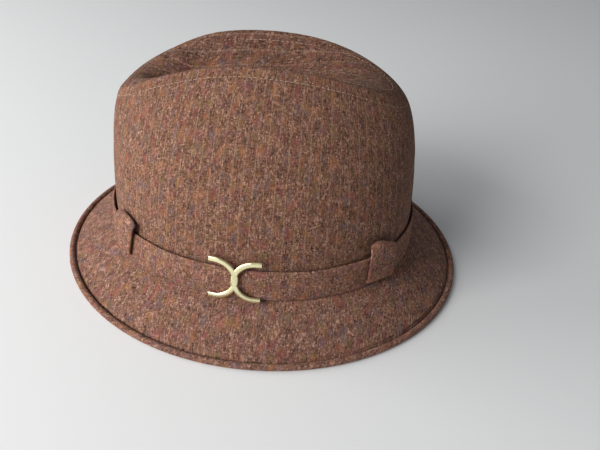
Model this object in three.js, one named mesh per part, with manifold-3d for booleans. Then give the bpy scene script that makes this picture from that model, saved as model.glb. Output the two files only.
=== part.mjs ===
// A tweed hat with a creased crown, a turned-down brim, a cloth band and a brass ornament.
// Millimetres. The front faces -Y, the wearer's left is +X and the brim's edge rests on Z = 0.
import * as THREE from 'three';
import { LoftGeometry } from 'three/addons/geometries/LoftGeometry.js';
import { mergeVertices } from 'three/addons/utils/BufferGeometryUtils.js';
import Module from 'manifold-3d';

const wasm = await Module();
wasm.setup();

// Driving dimensions
const AROUND = 80;
const CLOTH = 2.4;
const SEAM_GAP = 0.3;
// A step small enough to measure a slope with, and the distance under which two corners are one
const REACH = 0.01;
const SAME_POINT = 1e-4;

// Outlines seen from above: half width on X, half lengths on Y, and how square each end is
const HEAD_OVAL = { halfWidth: 85.3, back: 103, front: 103, backPower: 2.08, frontPower: 2.08 };
const TIP_OVAL = { halfWidth: 31.5, back: 83, front: 92, backPower: 2.16, frontPower: 3.75 };
const EDGE_OVAL = { halfWidth: 126, back: 142.7, front: 139.3, backPower: 2, frontPower: 2 };

// Heights, with the crown rising a little towards the back
const HEADLINE_Z = 21.5;
const BAND_TOP_Z = 44;
const RIDGE_Z = 148.4;
const CROWN_RISE = 0.018;
const TIP_END = {
  front: { z: 119.4, power: 1.92 },
  back: { z: 128.1, power: 2.3 },
};

// How the side crown curves up from the band to the seam, by the side of the hat
const SIDE_CURVE = {
  side: { lowHandle: 0.44, highHandle: 0.336, leanIn: 0.1, slopeDegrees: 41.3 },
  front: { lowHandle: 0.51, highHandle: 0.178, leanIn: 1.9, slopeDegrees: 50.7 },
  back: { lowHandle: 0.51, highHandle: 0.178, leanIn: 1.9, slopeDegrees: 37.3 },
};
// Levels are 0 at the headline, 1 at the top of the band and 2 at the seam round the tip
const SEAM_LEVEL = 2;
const SIDE_LEVELS = [0, 0.35, 1, 1.2, 1.4, 1.58, 1.72, 1.83, 1.93];
const WALL_FLARE = 1.6;

// The lengthwise crease: deep at the front, fading out before the back
const DENT_DEPTH = 28;
const DENT = { frontStart: -89, frontFull: -52, fadeStart: -5, fadeEnd: 78 };
// Towards the front the crease narrows to this share of the tip's width
const DENT_PINCH = { share: 0.72, tight: -90, wide: -40 };
const DENT_ROUNDING = 0.16;
const DENT_POWER = 1.45;
const TIP_RINGS = [0.95, 0.87, 0.75, 0.62, 0.5, 0.38, 0.26, 0.14, 0];

// Brim: shares of the way out and of the drop
const BRIM_THICKNESS = 2.4;
const BRIM_STATIONS = [0, 0.12, 0.35, 0.6, 0.82, 1];
const BRIM_CURVE_POWER = 1.12;
const BRIM_EDGE_Z = 3.4;
const PIPING_HEIGHT = 4.2;
const PIPING_SIDES = 8;

// Band, its four loops and the ornament
const BAND = { bottomZ: 23.4, topZ: 44, thickness: 2.1, standOffTop: 1.1, standOffBottom: 0.3 };
const LOOP_WIDTH = 20;
const LOOP_STEPS = 6;
const LOOP_THICKNESS = 2.7;
// Height and distance from the side crown of a loop's outer face, a row for each bend
const LOOP_BENDS = [
  { z: 26.4, out: 5.8 },
  { z: 33, out: 6.1 },
  { z: 42, out: 6.3 },
  { z: 48, out: 6.2 },
  { z: 52.4, out: 5.4 },
  { z: 55, out: 3.4 },
];
// Place round the hat of each loop, and how far its top is pushed towards the back
const LOOPS = [
  { name: 'loop_front_left', angleDegrees: -48, push: 7 },
  { name: 'loop_back_left', angleDegrees: 54, push: 0 },
  { name: 'loop_back_right', angleDegrees: 127, push: 1 },
  { name: 'loop_front_right', angleDegrees: 230, push: -2 },
];
const RING = { outerRadius: 15, stroke: 3.7, spacing: 25.2, tail: 3.4, depth: 1.8, bevel: 0.4 };
const ORNAMENT_Y = -0.9;
const ORNAMENT_Z = 37.6;
const ORNAMENT_OUT = 4.6;
const ORNAMENT_LEAN_DEGREES = 5;

const TWEED = new THREE.MeshStandardMaterial({ color: 0x866352, roughness: 0.95, metalness: 0 });
const BRASS = new THREE.MeshStandardMaterial({ color: 0xcac59c, roughness: 0.3, metalness: 1 });

const UP = new THREE.Vector3(0, 0, 1);

function signedPower(value, power) {
  return Math.sign(value) * Math.abs(value) ** power;
}

function mix(a, b, share) {
  return a + (b - a) * share;
}

function smoothStep(low, high, value) {
  return THREE.MathUtils.smoothstep(value, low, high);
}

// How far along the hat a direction round it lies, from -1 at the front to 1 at the back
function lengthShare(angle) {
  return signedPower(Math.sin(angle), 2 / HEAD_OVAL.backPower);
}

function ovalPoint(oval, angle, grow = 0) {
  const share = lengthShare(angle);
  const isBack = share > 0;
  const power = isBack ? oval.backPower : oval.frontPower;
  const halfLength = (isBack ? oval.back : oval.front) + grow;
  const width = Math.max(0, 1 - Math.abs(share) ** power) ** (1 / power);
  const x = Math.sign(Math.cos(angle)) * (oval.halfWidth + grow) * width;
  return new THREE.Vector2(x, halfLength * share);
}

function crownRise(y) {
  return CROWN_RISE * y;
}

// Height of the ridges beside the crease, without the crown's rise
function ridgeHeight(y) {
  const end = y > 0 ? TIP_END.back : TIP_END.front;
  const halfLength = y > 0 ? TIP_OVAL.back : TIP_OVAL.front;
  return mix(RIDGE_Z, end.z, Math.min(1, Math.abs(y) / halfLength) ** end.power);
}

// A value of the side curve's table for a direction round the hat
function sideCurve(column, angle) {
  const s = Math.sin(angle);
  const end = s > 0 ? SIDE_CURVE.back : SIDE_CURVE.front;
  return mix(SIDE_CURVE.side[column], end[column], s * s);
}

// Outer face of the side crown
function sideCrown(angle, level) {
  const base = ovalPoint(HEAD_OVAL, angle);
  if (level <= 1) {
    const low = ovalPoint(HEAD_OVAL, angle, WALL_FLARE * (1 - level) ** 2);
    return new THREE.Vector3(low.x, low.y, mix(HEADLINE_Z, BAND_TOP_Z, level) + crownRise(low.y));
  }
  const seam = ovalPoint(TIP_OVAL, angle);
  const inward = seam.clone().sub(base).normalize();
  const height = ridgeHeight(seam.y) - BAND_TOP_Z;
  const slope = THREE.MathUtils.degToRad(sideCurve('slopeDegrees', angle));
  const top = new THREE.Vector3(seam.x, seam.y, BAND_TOP_Z + height);
  const leanIn = inward.clone().multiplyScalar(sideCurve('leanIn', angle));
  const arrival = new THREE.Vector3(
    inward.x * Math.cos(slope),
    inward.y * Math.cos(slope),
    Math.sin(slope),
  );
  const curve = new THREE.CubicBezierCurve3(
    new THREE.Vector3(base.x, base.y, BAND_TOP_Z),
    new THREE.Vector3(
      base.x + leanIn.x,
      base.y + leanIn.y,
      BAND_TOP_Z + sideCurve('lowHandle', angle) * height,
    ),
    top.clone().addScaledVector(arrival, -sideCurve('highHandle', angle) * height),
    top,
  );
  const point = curve.getPoint(level - 1);
  point.z += crownRise(point.y);
  return point;
}

// Share of the crease's depth left at a share of the way from its middle to the seam
function creaseShare(across, y) {
  const rounded = Math.hypot(across, DENT_ROUNDING) ** DENT_POWER;
  const flat = DENT_ROUNDING ** DENT_POWER;
  const full = Math.hypot(1, DENT_ROUNDING) ** DENT_POWER;
  const wide = (rounded - flat) / (full - flat);
  const narrow = smoothStep(0, DENT_PINCH.share, across);
  return 1 - mix(narrow, wide, smoothStep(DENT_PINCH.tight, DENT_PINCH.wide, y));
}

// Outer face of the tip: share 1 lies on the seam and 0 is the middle
function tipTop(angle, share) {
  const seam = ovalPoint(TIP_OVAL, angle);
  const x = seam.x * share;
  const y = seam.y * share;
  const power = y > 0 ? TIP_OVAL.backPower : TIP_OVAL.frontPower;
  const along = Math.abs(y) / (y > 0 ? TIP_OVAL.back : TIP_OVAL.front);
  const halfWidth = TIP_OVAL.halfWidth * Math.max(0, 1 - along ** power) ** (1 / power);
  const across = halfWidth > REACH ? Math.min(1, Math.abs(x) / halfWidth) : 1;
  const start = smoothStep(DENT.frontStart, DENT.frontFull, y);
  const fade = 1 - smoothStep(DENT.fadeStart, DENT.fadeEnd, y);
  const z = ridgeHeight(y) - DENT_DEPTH * start * fade * creaseShare(across, y);
  return new THREE.Vector3(x, y, z + crownRise(y));
}

// Top face of the brim: share 0 at the side crown and 1 at the piping
function brimTop(angle, share) {
  const inner = ovalPoint(HEAD_OVAL, angle, WALL_FLARE + SEAM_GAP);
  const outer = ovalPoint(EDGE_OVAL, angle, -PIPING_HEIGHT - SEAM_GAP);
  const drop = share ** BRIM_CURVE_POWER;
  const z = mix(HEADLINE_Z + crownRise(inner.y), BRIM_EDGE_Z, drop);
  return new THREE.Vector3(mix(inner.x, outer.x, share), mix(inner.y, outer.y, share), z);
}

function angleAt(index) {
  return (index / AROUND) * 2 * Math.PI;
}

// Outward normal of a face given by an angle and a second number that grows from the brim inwards
function faceNormal(face, angle, value, lowest, highest) {
  const along = face(angle + REACH, value).sub(face(angle - REACH, value));
  const above = face(angle, Math.min(value + REACH, highest));
  const below = face(angle, Math.max(value - REACH, lowest));
  return along.cross(above.sub(below)).normalize();
}

function sideNormal(angle, level) {
  return faceNormal(sideCrown, angle, level, 0, SEAM_LEVEL);
}

// The tip's normal, a little outside the middle, where all directions meet
function tipNormal(angle, share) {
  const inwards = (direction, distance) => tipTop(direction, 1 - distance);
  return faceNormal(inwards, angle, 1 - Math.max(share, 2 * REACH), 0, 1);
}

function ring(pointAt) {
  const points = [];
  for (let index = 0; index < AROUND; index += 1) {
    points.push(pointAt(angleAt(index)));
  }
  return points;
}

// A body skinned over rings or sections, with the faces that have shrunk to nothing left out
function lofted(sections, options) {
  const skin = new LoftGeometry(sections, options);
  const bare = new THREE.BufferGeometry();
  bare.setAttribute('position', skin.attributes.position);
  bare.setIndex(skin.index);
  const merged = mergeVertices(bare, SAME_POINT);
  const corners = Array.from(merged.index.array);
  const kept = [];
  for (let first = 0; first < corners.length; first += 3) {
    const [a, b, c] = corners.slice(first, first + 3);
    if (a !== b && b !== c && c !== a) {
      kept.push(a, b, c);
    }
  }
  merged.setIndex(kept);
  merged.computeVertexNormals();
  return merged;
}

// A closed band of cloth round the hat, from rings that go once round its section
function closedRings(rings) {
  return lofted([...rings, rings[0]]);
}

function mesh(name, geometry, material) {
  const piece = new THREE.Mesh(geometry, material);
  piece.name = name;
  return piece;
}

// Where the side crown and the tip meet: the mitre between their two faces
function seamMitre(angle) {
  const point = sideCrown(angle, SEAM_LEVEL);
  const wallNormal = sideNormal(angle, SEAM_LEVEL);
  const normal = wallNormal.clone().add(tipNormal(angle, 1)).normalize();
  const wallUp = point.clone().sub(sideCrown(angle, SEAM_LEVEL - REACH)).normalize();
  const tipIn = tipTop(angle, 1 - REACH).sub(point).normalize();
  const across = wallUp.add(tipIn).normalize();
  const depth = CLOTH / normal.dot(wallNormal);
  return { point, normal, across, depth };
}

function seamEdge(angle, side, isInner) {
  const { point, normal, across, depth } = seamMitre(angle);
  const edge = point.addScaledVector(across, side * SEAM_GAP / 2);
  return isInner ? edge.addScaledVector(normal, -depth) : edge;
}

function wallInner(angle, level) {
  const normal = sideNormal(angle, level);
  if (level <= 1) {
    normal.projectOnPlane(UP).normalize();
  }
  return sideCrown(angle, level).addScaledVector(normal, -CLOTH);
}

function sideCrownSolid() {
  const outer = SIDE_LEVELS.map((level) => ring((angle) => sideCrown(angle, level)));
  const inner = SIDE_LEVELS.map((level) => ring((angle) => wallInner(angle, level)));
  const outerEdge = ring((angle) => seamEdge(angle, -1, false));
  const innerEdge = ring((angle) => seamEdge(angle, -1, true));
  return closedRings([...outer, outerEdge, innerEdge, ...inner.reverse()]);
}

function tipInner(angle, share) {
  const normal = share === 0 ? UP : tipNormal(angle, share);
  return tipTop(angle, share).addScaledVector(normal, -CLOTH);
}

function crownTipSolid() {
  const outer = TIP_RINGS.map((share) => ring((angle) => tipTop(angle, share)));
  const inner = TIP_RINGS.map((share) => ring((angle) => tipInner(angle, share)));
  const outerEdge = ring((angle) => seamEdge(angle, 1, false));
  const innerEdge = ring((angle) => seamEdge(angle, 1, true));
  return lofted([...inner.reverse(), innerEdge, outerEdge, ...outer]);
}

function brimSolid() {
  const top = BRIM_STATIONS.map((share) => ring((angle) => brimTop(angle, share)));
  const bottom = BRIM_STATIONS.map((share) => ring((angle) => {
    const point = brimTop(angle, share);
    point.z -= BRIM_THICKNESS;
    return point;
  }));
  return closedRings([...bottom, ...top.reverse()]);
}

function pipingSolid() {
  const radius = PIPING_HEIGHT / 2 / Math.cos(Math.PI / PIPING_SIDES);
  const rings = [];
  for (let side = 0; side < PIPING_SIDES; side += 1) {
    const turn = ((side + 0.5) / PIPING_SIDES) * 2 * Math.PI;
    rings.push(ring((angle) => {
      const grow = radius * Math.sin(turn) - PIPING_HEIGHT / 2;
      const plan = ovalPoint(EDGE_OVAL, angle, grow);
      return new THREE.Vector3(plan.x, plan.y, PIPING_HEIGHT / 2 - radius * Math.cos(turn));
    }));
  }
  return closedRings(rings);
}

// A point a given distance out from the side crown, at a height
function outFromCrown(angle, z, out) {
  const level = z <= BAND_TOP_Z
    ? (z - HEADLINE_Z) / (BAND_TOP_Z - HEADLINE_Z)
    : 1 + levelAbove(angle, z);
  const normal = sideNormal(angle, level).projectOnPlane(UP).normalize();
  return sideCrown(angle, level).addScaledVector(normal, out);
}

// Share of the side curve at which it reaches a height, found by halving
function levelAbove(angle, z) {
  let low = 0;
  let high = 0.5;
  for (let step = 0; step < 24; step += 1) {
    const middle = (low + high) / 2;
    const point = sideCrown(angle, 1 + middle);
    if (point.z - crownRise(point.y) < z) {
      low = middle;
    } else {
      high = middle;
    }
  }
  return low;
}

function bandSolid() {
  const { bottomZ, topZ, thickness, standOffTop, standOffBottom } = BAND;
  return closedRings([
    ring((angle) => outFromCrown(angle, bottomZ, standOffBottom)),
    ring((angle) => outFromCrown(angle, bottomZ, standOffBottom + thickness)),
    ring((angle) => outFromCrown(angle, topZ, standOffTop + thickness)),
    ring((angle) => outFromCrown(angle, topZ, standOffTop)),
  ]);
}

// Turn round the hat that moves a given distance along the side crown
function angleStep(angle, distance) {
  const rate = outFromCrown(angle + REACH, BAND_TOP_Z, 0)
    .distanceTo(outFromCrown(angle, BAND_TOP_Z, 0)) / REACH;
  return distance / rate;
}

// One loop: a strip over the band, its top pushed along the hat by the push given
function loopSolid(angleDegrees, push) {
  const middle = THREE.MathUtils.degToRad(angleDegrees);
  const lowest = LOOP_BENDS[0].z;
  const highest = LOOP_BENDS.at(-1).z;
  const sections = [];
  for (let step = 0; step <= LOOP_STEPS; step += 1) {
    const side = (step / LOOP_STEPS - 0.5) * LOOP_WIDTH;
    const facePoint = ({ z, out }) => {
      const shift = push * ((z - lowest) / (highest - lowest) - 0.5);
      return outFromCrown(middle + angleStep(middle, side + shift), z, out);
    };
    const outer = LOOP_BENDS.map(facePoint);
    const inner = LOOP_BENDS.map(({ z, out }) => facePoint({ z, out: out - LOOP_THICKNESS }));
    sections.push([...inner, ...outer.reverse()]);
  }
  return lofted(sections, { capStart: true, capEnd: true });
}

function toManifold(geometry) {
  const bare = geometry.clone();
  bare.deleteAttribute('normal');
  bare.deleteAttribute('uv');
  const merged = mergeVertices(bare, SAME_POINT);
  return new wasm.Manifold(new wasm.Mesh({
    numProp: 3,
    vertProperties: new Float32Array(merged.attributes.position.array),
    triVerts: new Uint32Array(merged.index.array),
  }));
}

function fromManifold(solid) {
  const { vertProperties, triVerts } = solid.getMesh();
  const geometry = new THREE.BufferGeometry();
  geometry.setAttribute('position', new THREE.Float32BufferAttribute(vertProperties, 3));
  geometry.setIndex(new THREE.Uint32BufferAttribute(triVerts, 1));
  geometry.computeVertexNormals();
  return geometry;
}

// One open half ring with short straight tails, lying in the XY plane and open towards +X
function halfRingGeometry() {
  const outer = RING.outerRadius - RING.bevel;
  const inner = RING.outerRadius - RING.stroke + RING.bevel;
  const end = RING.tail - RING.bevel;
  const shape = new THREE.Shape();
  shape.moveTo(end, outer);
  shape.lineTo(0, outer);
  shape.absarc(0, 0, outer, Math.PI / 2, (3 * Math.PI) / 2, false);
  shape.lineTo(end, -outer);
  shape.lineTo(end, -inner);
  shape.lineTo(0, -inner);
  shape.absarc(0, 0, inner, (3 * Math.PI) / 2, Math.PI / 2, true);
  shape.lineTo(end, inner);
  shape.closePath();
  return new THREE.ExtrudeGeometry(shape, {
    depth: RING.depth - 2 * RING.bevel,
    bevelEnabled: true,
    bevelSize: RING.bevel,
    bevelThickness: RING.bevel,
    bevelSegments: 1,
    curveSegments: 14,
  });
}

// Two half rings soldered back to back and bowed to the side of the crown
function ornamentSolid() {
  const right = halfRingGeometry().translate(RING.spacing / 2, 0, 0);
  const left = right.clone().rotateZ(Math.PI);
  const joined = fromManifold(toManifold(right).add(toManifold(left)));
  const position = joined.attributes.position;
  const bow = HEAD_OVAL.halfWidth / (2 * HEAD_OVAL.back ** 2);
  for (let index = 0; index < position.count; index += 1) {
    position.setZ(index, position.getZ(index) - bow * position.getX(index) ** 2);
  }
  joined.computeVertexNormals();
  return joined;
}

const hat = new THREE.Group();
// Brings the middle of the brim's outline onto the origin
hat.position.y = (EDGE_OVAL.front - EDGE_OVAL.back) / 2;
hat.add(mesh('side_crown', sideCrownSolid(), TWEED));
hat.add(mesh('crown_tip', crownTipSolid(), TWEED));
hat.add(mesh('brim', brimSolid(), TWEED));
hat.add(mesh('brim_piping', pipingSolid(), TWEED));

const trim = new THREE.Group();
trim.add(mesh('hat_band', bandSolid(), TWEED));
for (const { name, angleDegrees, push } of LOOPS) {
  trim.add(mesh(name, loopSolid(angleDegrees, push), TWEED));
}
hat.add(trim);

const ornament = mesh('ornament', ornamentSolid(), BRASS);
const lean = THREE.MathUtils.degToRad(ORNAMENT_LEAN_DEGREES);
ornament.quaternion.setFromRotationMatrix(new THREE.Matrix4().makeBasis(
  new THREE.Vector3(0, 1, 0),
  new THREE.Vector3(-Math.sin(lean), 0, Math.cos(lean)),
  new THREE.Vector3(Math.cos(lean), 0, Math.sin(lean)),
));
ornament.position.set(HEAD_OVAL.halfWidth + ORNAMENT_OUT, ORNAMENT_Y, ORNAMENT_Z);
hat.add(ornament);

export default hat;
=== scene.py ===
# %% [markdown]
# A tweed fedora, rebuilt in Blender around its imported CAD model. The CAD gives each piece its place
# and size. This script skins finer cloth over the same curves, sews it and gives it its finish.
# Lengths are worked out in millimetres, as a hatter would, and turned into metres as meshes are made.

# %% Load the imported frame
import math

import bmesh
import bpy
import numpy as np
from mathutils import Matrix, Vector, kdtree, noise


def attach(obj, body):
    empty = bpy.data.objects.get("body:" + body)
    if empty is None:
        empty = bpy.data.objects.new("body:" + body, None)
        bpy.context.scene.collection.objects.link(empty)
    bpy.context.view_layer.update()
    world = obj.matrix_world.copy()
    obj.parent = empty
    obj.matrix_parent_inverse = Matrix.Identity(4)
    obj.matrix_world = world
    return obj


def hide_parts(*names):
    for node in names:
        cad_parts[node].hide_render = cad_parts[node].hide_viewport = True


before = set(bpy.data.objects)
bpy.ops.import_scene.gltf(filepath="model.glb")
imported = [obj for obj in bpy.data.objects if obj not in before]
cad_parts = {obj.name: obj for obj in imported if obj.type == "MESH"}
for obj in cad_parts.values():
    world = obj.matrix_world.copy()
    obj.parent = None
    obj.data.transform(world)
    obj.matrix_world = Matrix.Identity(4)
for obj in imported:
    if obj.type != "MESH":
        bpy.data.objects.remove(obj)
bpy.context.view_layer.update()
print("nodes:", sorted(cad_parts))
MM = 0.001
TURN = 2 * math.pi


def add_object(name, data):
    """Puts a mesh, a lamp or a camera into the scene."""
    made = bpy.data.objects.new(name, data)
    bpy.context.collection.objects.link(made)
    return made


# %% [markdown]
# The camera comes first. It stands on the wearer's left, well above the brim, and looks down at the
# ornament. Its place was found by matching the brim's and the crown's outlines to the photograph.
# Pitch, yaw and roll stay three angles, so that each can be read and changed by itself.

# %% Camera
IMAGE_WIDTH_PX = 600
FOCAL_PX = 607
SENSOR_MM = 36
EYE_MM = Vector((357.43, 57.65, 280.92))
PITCH, YAW, ROLL = (math.radians(angle) for angle in (36.15, 5.11, -4.93))


def camera_turn():
    """Right, up and back directions of the camera, as the columns of a matrix."""
    forward = Vector((
        -math.cos(YAW) * math.cos(PITCH),
        -math.sin(YAW) * math.cos(PITCH),
        -math.sin(PITCH),
    ))
    level_right = Vector((-math.sin(YAW), math.cos(YAW), 0))
    level_down = forward.cross(level_right)
    right = math.cos(ROLL) * level_right + math.sin(ROLL) * level_down
    down = math.cos(ROLL) * level_down - math.sin(ROLL) * level_right
    return Matrix((right, -down, -forward)).transposed()


camera_data = bpy.data.cameras.new("camera")
camera_data.sensor_width = SENSOR_MM
camera_data.lens = FOCAL_PX / IMAGE_WIDTH_PX * SENSOR_MM
camera = add_object("camera", camera_data)
camera.matrix_world = Matrix.Translation(EYE_MM * MM) @ camera_turn().to_4x4()
bpy.context.scene.camera = camera
print("lens", round(camera_data.lens, 1), "mm")

# %% [markdown]
# The floor is one large pale sheet. Two big soft lamps stand on the hat's front side, one of them
# towards the camera, so that the front of the crown is bright and its back falls into shade. A dim world
# light fills the shadows. A sun lamp would give hard shadows, which the photograph doesn't have. The
# standard view transform keeps the browns as warm as they are set.

# %% Floor and light
FLOOR_HALF = 3.0
LAMP_SIZE = 1.1
LAMP_AIM = Vector((0, 0, 0.08))
LAMPS = {
    "key_lamp": {"place": (1.09, -1.09, 0.8), "watts": 38, "tint": (1.0, 0.985, 0.965)},
    "front_lamp": {"place": (0.0, -1.58, 0.72), "watts": 15, "tint": (1.0, 0.99, 0.97)},
}
ROOM_TINT = (0.94, 0.97, 1.0, 1)
ROOM_STRENGTH = 0.23

floor_mesh = bpy.data.meshes.new("floor")
floor_signs = [(-1, -1), (1, -1), (1, 1), (-1, 1)]
floor_mesh.from_pydata([(x * FLOOR_HALF, y * FLOOR_HALF, 0) for x, y in floor_signs], [], [(0, 1, 2, 3)])
floor = add_object("floor", floor_mesh)


def soft_lamp(name, place, watts, tint):
    """A square lamp that looks at the crown from a place in metres."""
    data = bpy.data.lights.new(name, "AREA")
    data.size = LAMP_SIZE
    data.energy = watts
    data.color = tint
    lamp = add_object(name, data)
    look = (LAMP_AIM - Vector(place)).to_track_quat("-Z", "Y")
    lamp.matrix_world = Matrix.Translation(place) @ look.to_matrix().to_4x4()


for name, lamp_values in LAMPS.items():
    soft_lamp(name, **lamp_values)
world = bpy.data.worlds.new("room")
world.use_nodes = True
room_light = world.node_tree.nodes["Background"].inputs
room_light["Color"].default_value = ROOM_TINT
room_light["Strength"].default_value = ROOM_STRENGTH
bpy.context.scene.world = world
bpy.context.scene.view_settings.view_transform = "Standard"
print("lamps:", list(LAMPS))

# %% [markdown]
# Materials are written as sums. A small class wraps a socket, so that adding two of them makes the
# Math node that adds them. Every other kind of node comes from one method of the recipe. Colours are
# mixed by their own node, because a Math node would turn them grey.


# %% Sums of sockets
class Value:
    """A number or a colour that changes over a surface. The operators are for numbers."""

    def __init__(self, recipe, socket):
        self.recipe = recipe
        self.socket = socket

    def math(self, operation, *others):
        return self.recipe.math(operation, self, *others)

    def __add__(self, other):
        return self.math("ADD", other)

    def __sub__(self, other):
        return self.math("SUBTRACT", other)

    def __rsub__(self, other):
        return self.recipe.math("SUBTRACT", other, self)

    def __mul__(self, other):
        return self.math("MULTIPLY", other)

    def __truediv__(self, other):
        return self.math("DIVIDE", other)

    def __rtruediv__(self, other):
        return self.recipe.math("DIVIDE", other, self)

    __radd__ = __add__
    __rmul__ = __mul__

    def ramp(self, low, high, to_low=0.0, to_high=1.0):
        """Eases from one value to another while this one goes from low to high."""
        settings = {"interpolation_type": "SMOOTHSTEP"}
        return self.recipe.node("ShaderNodeMapRange", settings, [self, low, high, to_low, to_high])


class Recipe:
    """The node tree of one finish."""

    def __init__(self, name):
        self.material = bpy.data.materials.new(name)
        self.material.use_nodes = True
        self.tree = self.material.node_tree
        self.shader = self.tree.nodes["Principled BSDF"]

    def fill(self, socket, value):
        """Links a value to a socket, or sets a plain number or colour."""
        if isinstance(value, Value):
            self.tree.links.new(value.socket, socket)
        else:
            socket.default_value = value

    def node(self, kind, settings, sockets, output=0):
        """Adds a node, sets it up, fills its sockets, and gives one of its outputs."""
        made = self.tree.nodes.new(kind)
        for name, setting in settings.items():
            setattr(made, name, setting)
        pairs = sockets.items() if isinstance(sockets, dict) else enumerate(sockets)
        for key, value in pairs:
            self.fill(made.inputs[key], value)
        return Value(self, made.outputs[output])

    def math(self, operation, *numbers):
        return self.node("ShaderNodeMath", {"operation": operation}, numbers)

    def point(self, x, y, z=0.0):
        return self.node("ShaderNodeCombineXYZ", {}, [x, y, z])

    def parts(self, vector):
        """The x, y and z of a vector, as three numbers."""
        split = self.node("ShaderNodeSeparateXYZ", {}, [vector])
        return [Value(self, number) for number in split.socket.node.outputs]

    def noise(self, point, detail=2.0, roughness=0.5):
        sockets = {"Vector": point, "Scale": 1.0, "Detail": detail, "Roughness": roughness}
        return self.node("ShaderNodeTexNoise", {}, sockets)

    def mix(self, share, first, second, blend="MIX"):
        settings = {"data_type": "RGBA", "blend_type": blend}
        return self.node("ShaderNodeMix", settings, {0: share, 6: first, 7: second}, output=2)

    def bump(self, height, depth_mm, strength):
        """The normal of a surface that rises and falls with a height."""
        sockets = {"Strength": strength, "Distance": depth_mm * MM, "Height": height}
        return self.node("ShaderNodeBump", {}, sockets)

    def wear(self, **sockets):
        """Fills sockets of the shader, and gives the finished material."""
        for name, value in sockets.items():
            self.fill(self.shader.inputs[name.replace("_", " ")], value)
        return self.material


class ClothRecipe(Recipe):
    """A finish laid out along the cloth's own two axes, in millimetres."""

    def __init__(self, name):
        super().__init__(name)
        across, along, _ = self.parts(self.node("ShaderNodeUVMap", {"uv_map": "cloth"}, []))
        self.across = across / MM
        self.along = along / MM

    def cloud(self, size, layer=0.0, detail=3.0, roughness=0.5):
        """Soft spots of a width and a length. Each layer has its own pattern."""
        wide, long = size
        return self.noise(self.point(self.across / wide, self.along / long, layer), detail, roughness)


print("recipes ready")

# %% [markdown]
# Tweed is woven from wool yarns that were spun from dyed fleece. One set of yarns, the warp, runs up
# the cloth and the other, the weft, across it. They cross as a twill, two over and two under, one step
# further in each row. The weave is worked out from the cloth's own two axes, which each piece carries as
# a map in metres, so the scale is the same on every piece.

# %% Weave
YARN_MM = 0.8
TWILL_YARNS = 4
WANDER_MM = 0.55
STREAK_MM = {"warp": 3.0, "weft": 2.6}
# Steps in the noise between neighbouring yarns, so that they don't look alike
STREAK_STEP = {"warp": 3.7, "weft": 5.3}
WEFT_LAYER = 7.0


def yarn_round(yarn):
    """Height of a yarn's round back, from 0 at its sides to 1 in its middle."""
    return (yarn * math.pi).math("SINE").math("ABSOLUTE")


def weave(cloth, fuzz):
    """Streaks of colour along the yarns, and the height of the yarns that lie on top."""
    wander = (fuzz - 0.5) * WANDER_MM
    warp = (cloth.across + wander) / YARN_MM
    weft = (cloth.along + wander) / YARN_MM
    warp_count = warp.math("FLOOR")
    weft_count = weft.math("FLOOR")
    twill = ((warp_count + weft_count) / TWILL_YARNS).math("FRACT")
    is_warp = twill.math("LESS_THAN", 0.5)
    is_weft = 1.0 - is_warp
    warp_spot = cloth.point(warp_count * STREAK_STEP["warp"], cloth.along / STREAK_MM["warp"])
    weft_spot = cloth.point(cloth.across / STREAK_MM["weft"], weft_count * STREAK_STEP["weft"], WEFT_LAYER)
    warp_streak = cloth.noise(warp_spot, detail=3.0, roughness=0.6)
    weft_streak = cloth.noise(weft_spot, detail=3.0, roughness=0.6)
    streak = is_warp * warp_streak + is_weft * weft_streak
    return streak, is_warp * yarn_round(warp) + is_weft * yarn_round(weft)


print("weave of", YARN_MM, "mm yarns, repeating every", TWILL_YARNS)

# %% [markdown]
# Over the browns lie the flecks, small clouds of one dye that gather in loose zones. Last comes a thin
# pale yarn that repeats every few millimetres as a faint and broken stripe.

# %% Flecks and stripes
FLECKS = {
    "olive": (0.16, 0.11, 0.035, 1),
    "grey": (0.105, 0.085, 0.10, 1),
    "orange": (0.30, 0.12, 0.04, 1),
    "wine": (0.20, 0.045, 0.05, 1),
}
FLECK_MM = (0.9, 2.4)
ZONE_MM = (5.0, 9.0)
FLECK_WEIGHT = 0.6
ZONE_WEIGHT = 1.5
FLECK_START, FLECK_FULL = 1.08, 1.42
FLECK_SHARE = 0.42
STRIPE_MM = 6.6
STRIPE_TAN = (0.40, 0.26, 0.17, 1)
# Shares of the stripe's spacing where it is full and where it ends, to each side of its middle
STRIPE_CORE, STRIPE_EDGE = 0.03, 0.08
STRIPE_BREAK_MM = 2.0
STRIPE_FAINT, STRIPE_PLAIN = 0.05, 0.45


def flecked(cloth, colour):
    """A colour with flecks of the four dyes over it."""
    for index, fleck in enumerate(FLECKS.values()):
        cloud = cloth.cloud(FLECK_MM, layer=20.0 + 9.0 * index, roughness=0.6)
        zone = cloth.cloud(ZONE_MM, layer=60.0 + 5.0 * index, detail=1.0)
        amount = (cloud * FLECK_WEIGHT + zone * ZONE_WEIGHT).ramp(FLECK_START, FLECK_FULL, 0.0, FLECK_SHARE)
        colour = cloth.mix(amount, colour, fleck)
    return colour


def striped(cloth, colour, strength):
    """A colour with the pale broken stripes over it."""
    stripes = cloth.across / STRIPE_MM
    from_middle = (stripes.math("FRACT") - 0.5).math("ABSOLUTE")
    spot = cloth.point(stripes.math("FLOOR"), cloth.along / STRIPE_BREAK_MM, 5.0)
    broken = cloth.noise(spot, detail=3.0).ramp(0.35, 0.65, STRIPE_FAINT, STRIPE_PLAIN)
    amount = from_middle.ramp(STRIPE_CORE, STRIPE_EDGE, strength, 0.0) * broken
    return cloth.mix(amount, colour, STRIPE_TAN)


print("flecks:", list(FLECKS), "and a stripe every", STRIPE_MM, "mm")

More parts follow.
